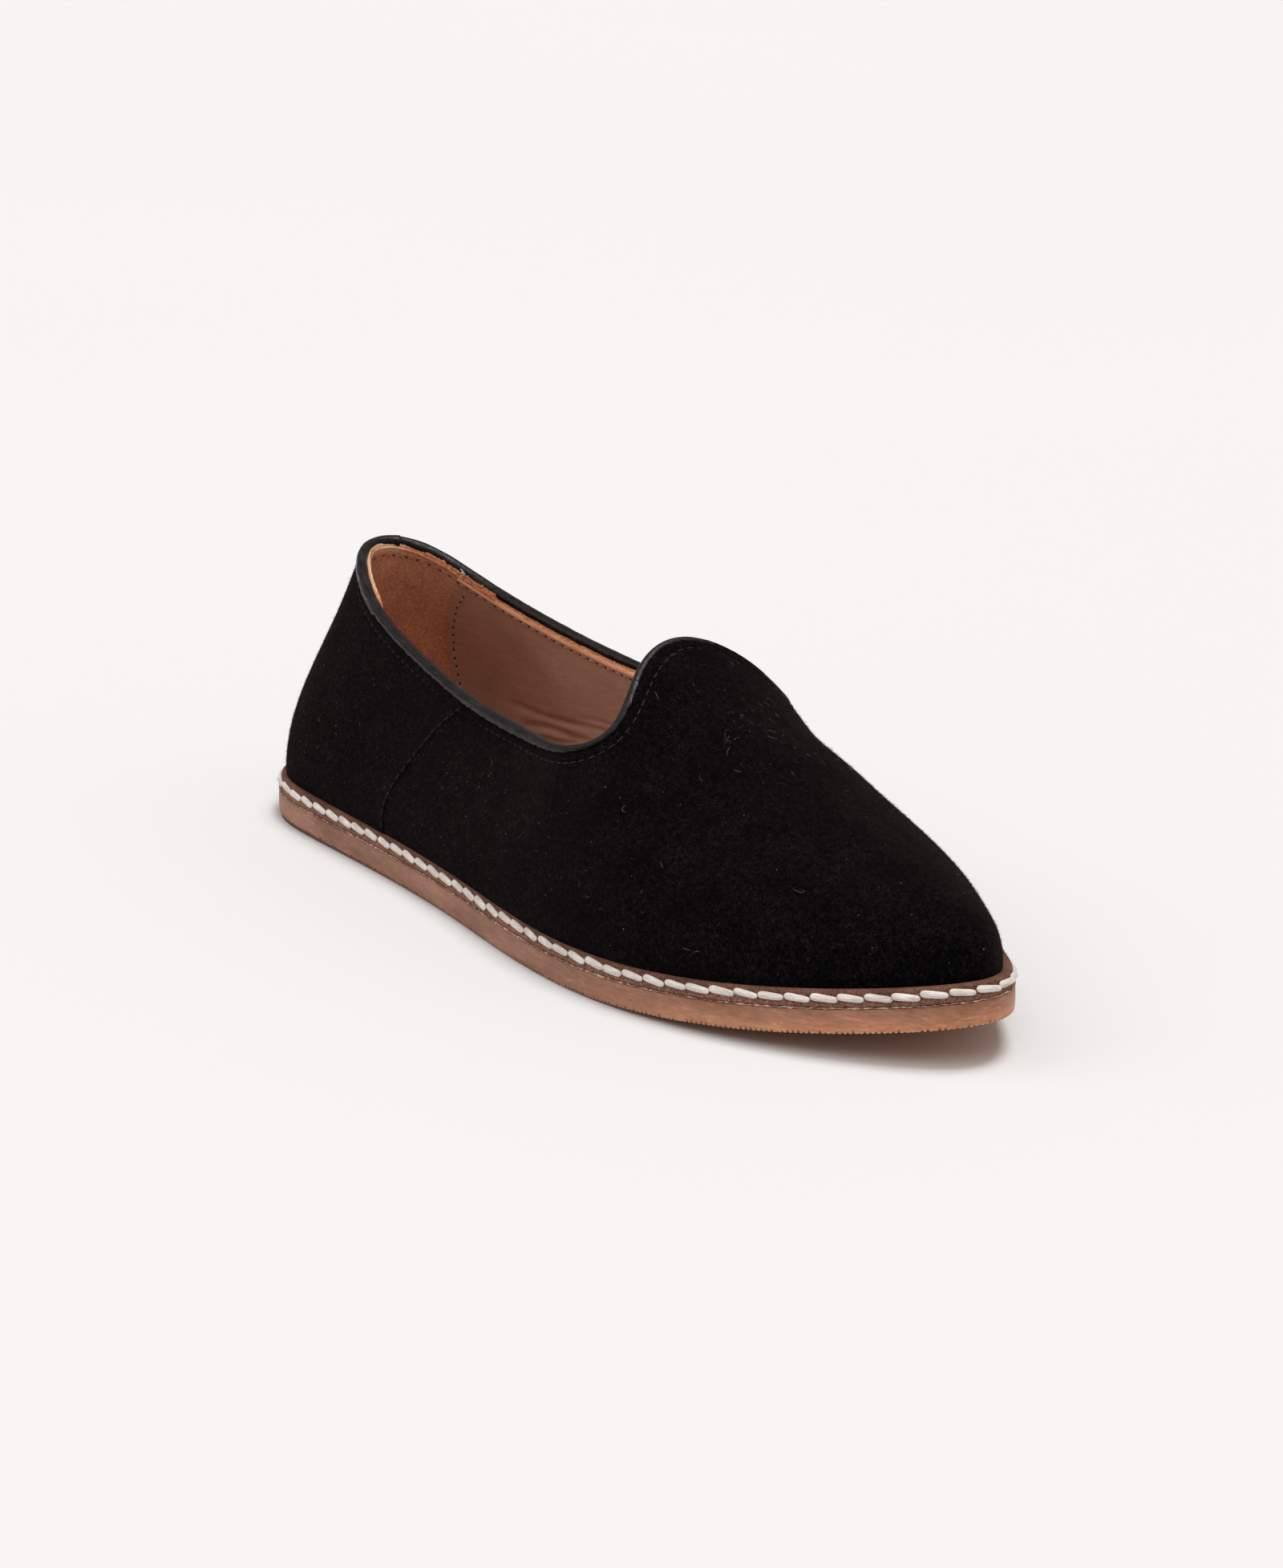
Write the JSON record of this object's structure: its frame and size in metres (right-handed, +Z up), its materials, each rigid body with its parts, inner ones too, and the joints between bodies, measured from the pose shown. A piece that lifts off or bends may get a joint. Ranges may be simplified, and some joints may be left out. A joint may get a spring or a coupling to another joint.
{
  "type": "slip-on shoe",
  "caption": "Flat slip-on shoe: hollow suede upper with a rounded tongue tab, rolled collar binding, stitched leather welt and a thin gum sole.",
  "frame": {"origin": "on the floor under the middle of the sole's bounding box", "axes": "+X from the heel to the toe, +Y to the medial (inner) side, +Z up"},
  "size_m": [0.256, 0.0864, 0.0724],
  "materials": {
    "outsole": "translucent gum rubber, satin",
    "midsole": "raw dyed leather edge, matt",
    "insole": "smooth lining leather, satin",
    "upper": "black suede nap, matt",
    "collar_binding": "smooth black leather, soft gloss"
  },
  "bodies": {
    "root": {"outsole": "outsole", "midsole": "midsole", "insole": "insole", "upper": "upper", "collar_binding": "collar_binding"}
  },
  "joints": []
}
